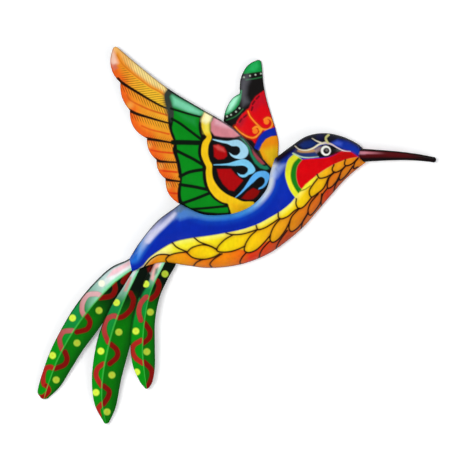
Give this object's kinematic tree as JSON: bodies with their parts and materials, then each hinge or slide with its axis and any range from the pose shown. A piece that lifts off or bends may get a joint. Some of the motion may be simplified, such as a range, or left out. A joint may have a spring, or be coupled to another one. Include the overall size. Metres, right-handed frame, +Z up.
{
  "type": "hummingbird wall ornament",
  "caption": "Painted sheet-steel hummingbird in flight for a wall: domed hollow body, rolled wings, creased tail feathers, long beak and a hanger strap with a nail hole.",
  "frame": {"origin": "centre of the nail hole in the hanger strap, on the wall plane", "axes": "+X towards the beak, +Y into the wall, +Z up"},
  "size_m": [0.3985, 0.0321, 0.3775],
  "materials": {
    "body_paint": "glossy lacquer over blue, yellow, orange and red brushwork",
    "beak_paint": "glossy dark red lacquer",
    "near_wing_paint": "glossy lacquer over orange, green, yellow, red and light blue brushwork",
    "far_wing_paint": "glossy lacquer over green, black, red and orange brushwork",
    "tail_paint": "glossy green lacquer with red bands and yellow dots",
    "hanger_paint": "satin black paint",
    "weld_steel": "as welded"
  },
  "bodies": {
    "root": {"body_shell": "body_paint", "beak": "beak_paint", "near_wing": "near_wing_paint", "far_wing": "far_wing_paint", "tail_outer": "tail_paint", "tail_middle": "tail_paint", "tail_inner": "tail_paint", "hanger_strap": "hanger_paint", "wing_stay": "hanger_paint", "near_wing_tacks": "weld_steel", "far_wing_tacks": "weld_steel", "tail_tacks": "weld_steel", "beak_tacks": "weld_steel", "strap_tacks": "weld_steel"}
  },
  "joints": []
}
